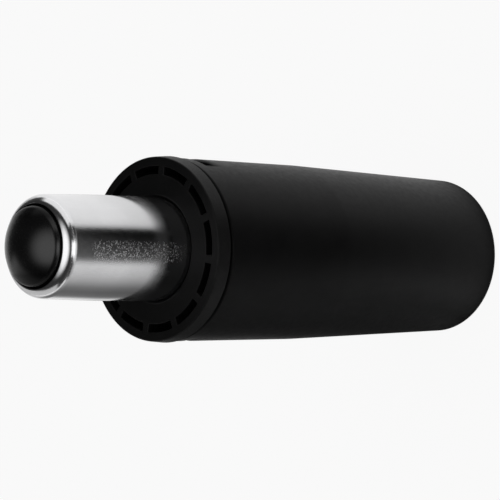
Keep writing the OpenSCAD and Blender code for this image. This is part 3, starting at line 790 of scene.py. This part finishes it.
# Cards: name, azimuth, darkness by angle from the azimuth, and darkness by distance from the axis
ALL_ROUND = [(-180, 1), (180, 1)]
CARDS = [
    ("front_card", 0,
     [(-62, 0), (-48, 0.08), (-40, 0.14), (-34, 0.36), (-27, 0.78), (-20, 0.92), (-8, 0.95), (4, 0.97),
      (14, 0.985), (24, 0.995), (31, 0.995), (37, 0.96), (43, 0.5), (50, 0.18), (62, 0.08), (95, 0)],
     [(0.1, 0), (0.12, 1), (0.21, 1), (0.27, 0.75), (0.34, 0.35), (0.44, 0.15), (0.65, 0.05), (1, 0)]),
    ("near_front_card", 0,
     [(-50, 0), (-34, 0.15), (-20, 0.6), (-8, 0.98), (12, 0.995), (24, 0.85), (36, 0.45), (48, 0.12),
      (66, 0)],
     [(0.03, 0.3), (0.05, 0.55), (0.08, 1), (0.1, 1), (0.12, 0)]),
    ("lower_card", -104,
     [(-74, 0), (-52, 0.02), (-46, 0.1), (-40, 0.35), (-33, 0.68), (-26, 0.82), (-7, 0.86), (8, 0.8),
      (20, 0.66), (42, 0.37), (74, 0)],
     [(0.02, 1), (0.6, 1), (1.5, 0)]),
    ("near_card", -95,
     [(-60, 0), (-35, 1), (35, 1), (60, 0)],
     [(0.02, 0.6), (0.06, 0.4), (0.1, 0.15), (0.12, 0)]),
    ("back_card", 180,
     [(-22, 0), (-8, 0.97), (8, 0.97), (22, 0)],
     [(0.03, 0.3), (0.1, 1), (0.15, 1), (0.22, 0)]),
    ("far_front_card", 30,
     [(-26, 0), (-15, 0.7), (-7, 0.95), (7, 0.95), (16, 0)],
     [(0.2, 0), (0.35, 1), (4, 1)]),
    ("far_lower_card", -46,
     [(-28, 0), (-14, 0.95), (12, 0.95), (16, 0.8), (21, 0.35), (27, 0.1), (32, 0)],
     [(0.2, 0), (0.25, 0.2), (0.35, 0.35), (0.6, 0.7), (1.2, 1), (14, 1)]),
    ("ring_card", 0,
     ALL_ROUND,
     [(0.1, 0), (0.13, 0.26), (0.142, 0.23), (0.147, 0.18), (0.163, 0.165), (0.17, 0.1), (0.18, 0.03),
      (0.19, 0)]),
    ("far_back_card", 180,
     [(-45, 0), (-28, 1), (28, 1), (45, 0)],
     [(0.25, 0), (0.6, 0.3), (1.5, 0.6), (4, 0.6)]),
    # painted shadow: a dark ring round the foot, seen only in the gloss, stands for the floor's shadow
    # there
    ("contact_shadow_card", 0,
     ALL_ROUND,
     [(0.015, 0.97), (0.0225, 0.9), (0.0245, 0.5), (0.028, 0.15), (0.033, 0)]),
]

# Lamps: name, azimuth, elevation, distance, shape, width, height, level, and softness of the edges
LAMPS = [
    ("overhead", -13, 74, 0.8, "ELLIPSE", 1.37, 1.37, 1.19, 0.75),
    ("front", -5, 11, 0.8, "RECTANGLE", 0.52, 0.52, 1.2, 0.5),
    ("side_up", 85, 20.5, 0.9, "RECTANGLE", 1.7, 0.66, 0.88, 0.3),
    ("side_down", -130, 20, 0.9, "RECTANGLE", 1.6, 0.6, 0.52, 0.3),
]


def stage_mesh(name, vertices, faces, material):
    mesh = bpy.data.meshes.new(name)
    mesh.from_pydata(vertices, [], faces)
    mesh.materials.append(material)
    made = bpy.data.objects.new(name, mesh)
    scene.collection.objects.link(made)
    return made


def bare_material(name):
    made = bpy.data.materials.new(name)
    made.use_nodes = True
    made.node_tree.nodes.clear()
    return made, made.node_tree


def coat(tree, colour):
    """Matt shader of one colour."""
    made = node(tree, "ShaderNodeBsdfDiffuse")
    made.inputs["Color"].default_value = colour
    return made


def join(tree, share, first, second):
    """Mix of two shaders by a share, as the material's surface."""
    mixed = node(tree, "ShaderNodeMixShader")
    tree.links.new(share, mixed.inputs[0])
    tree.links.new(first.outputs[0], mixed.inputs[1])
    tree.links.new(second.outputs[0], mixed.inputs[2])
    output = node(tree, "ShaderNodeOutputMaterial")
    tree.links.new(mixed.outputs[0], output.inputs["Surface"])


def make_floor():
    """Pale floor that looks white to the eye and in the metal, and keeps part of the object's shadow."""
    made, tree = bare_material("floor")
    path = node(tree, "ShaderNodeLightPath").outputs
    seen = reckon(tree, "ADD", path["Is Camera Ray"], path["Is Glossy Ray"])
    seen = reckon(tree, "ADD", seen, path["Is Transmission Ray"])
    glow = reckon(tree, "MULTIPLY", seen, FLOOR_GLOW)
    join(tree, glow, coat(tree, FLOOR_COLOUR), node(tree, "ShaderNodeEmission"))
    half = FLOOR_SIZE / 2
    low = cad_box[0].z
    corners = [(-half, -half, low), (half, -half, low), (half, half, low), (-half, half, low)]
    stage_mesh("floor", corners, [(0, 1, 2, 3)], made)


def greys(tree, value, stops):
    """Grey that goes through (value, level) stops."""
    first, last = stops[0][0], stops[-1][0]
    share = fading(tree, value, first, last, 0, 1)
    made = node(tree, "ShaderNodeValToRGB")
    tree.links.new(share, made.inputs["Fac"])
    marks = made.color_ramp.elements
    for _ in stops[2:]:
        marks.new(1)
    for mark, (at, level) in zip(marks, stops):
        mark.position = (at - first) / (last - first)
        mark.color = (level, level, level, 1)
    return made.outputs["Color"]


def card(layer, name, azimuth, across, along):
    """Black card on the floor that shows only in the object's gloss, each on a layer of its own."""
    made, tree = bare_material(name)
    spot = node(tree, "ShaderNodeTexCoord").outputs["Object"]
    x, y, _ = split(tree, spot)
    turn = reckon(tree, "ARCTAN2", x, reckon(tree, "MULTIPLY", y, -1))
    by_angle = greys(tree, reckon(tree, "DEGREES", turn), across)
    by_distance = greys(tree, length(tree, spot), along)
    share = reckon(tree, "MULTIPLY", by_angle, by_distance)
    join(tree, share, node(tree, "ShaderNodeBsdfTransparent"), coat(tree, BLACK))
    start, end = across[0][0], across[-1][0]
    angles = [start + (end - start) * i / CARD_STEPS for i in range(CARD_STEPS + 1)]
    vertices = [direction(a, 0) * r for a in angles for r in (along[0][0], along[-1][0])]
    faces = [(2 * i, 2 * i + 1, 2 * i + 3, 2 * i + 2) for i in range(CARD_STEPS)]
    flag = stage_mesh(name, vertices, faces, made)
    flag.location.z = cad_box[0].z + CARD_RISE * layer
    flag.rotation_euler.z = math.radians(azimuth)
    flag.visible_camera = False
    flag.visible_diffuse = False
    flag.visible_transmission = False
    flag.visible_shadow = False


def make_world():
    """Pale near the horizon and dim overhead, as in a room with a dark ceiling."""
    world = bpy.data.worlds.new("studio")
    world.use_nodes = True
    tree = world.node_tree
    height = split(tree, node(tree, "ShaderNodeTexCoord").outputs["Generated"])[2]
    sky = tree.nodes["Background"]
    sky.inputs["Color"].default_value = WHITE
    tree.links.new(fading(tree, height, 0, SKY_FADE, SKY_LOW, SKY_HIGH), sky.inputs["Strength"])
    scene.world = world


def soft_edges(tree, round_lamp, soft):
    """Share of a lamp's light by the place on its face: full in the middle and none at its edges."""
    middle = node(tree, "ShaderNodeVectorMath", operation="SUBTRACT")
    middle.inputs[1].default_value = (FACE_MIDDLE, FACE_MIDDLE, 0)
    tree.links.new(node(tree, "ShaderNodeNewGeometry").outputs["Parametric"], middle.inputs[0])
    if round_lamp:
        offsets = [length(tree, middle.outputs[0])]
    else:
        offsets = [reckon(tree, "ABSOLUTE", side) for side in split(tree, middle.outputs[0])[:2]]
    share = 1
    for offset in offsets:
        fade = fading(tree, offset, FACE_MIDDLE * (1 - soft), FACE_MIDDLE, 1, 0,
                      interpolation_type="SMOOTHSTEP")
        share = reckon(tree, "MULTIPLY", fade, share)
    return share


def lamp(name, azimuth, elevation, distance, shape, width, height, level, soft):
    """Soft box that faces the middle of the object. At level 1 it looks white in a mirror."""
    data = bpy.data.lights.new(name, "AREA")
    data.shape = shape
    data.size = width
    data.size_y = height
    round_lamp = shape == "ELLIPSE"
    data.energy = math.pi * width * height * (math.pi / 4 if round_lamp else 1) * level
    data.use_nodes = True
    tree = data.node_tree
    tree.links.new(soft_edges(tree, round_lamp, soft), tree.nodes["Emission"].inputs["Strength"])
    made = bpy.data.objects.new(name, data)
    scene.collection.objects.link(made)
    away = direction(azimuth, elevation)
    made.location = CAMERA_TARGET + away * distance
    made.rotation_euler = away.to_track_quat("Z", "Y").to_euler()


make_floor()
for card_layer, card_row in enumerate(CARDS, 1):
    card(card_layer, *card_row)
make_world()
for lamp_row in LAMPS:
    lamp(*lamp_row)

scene.view_settings.view_transform = "Standard"
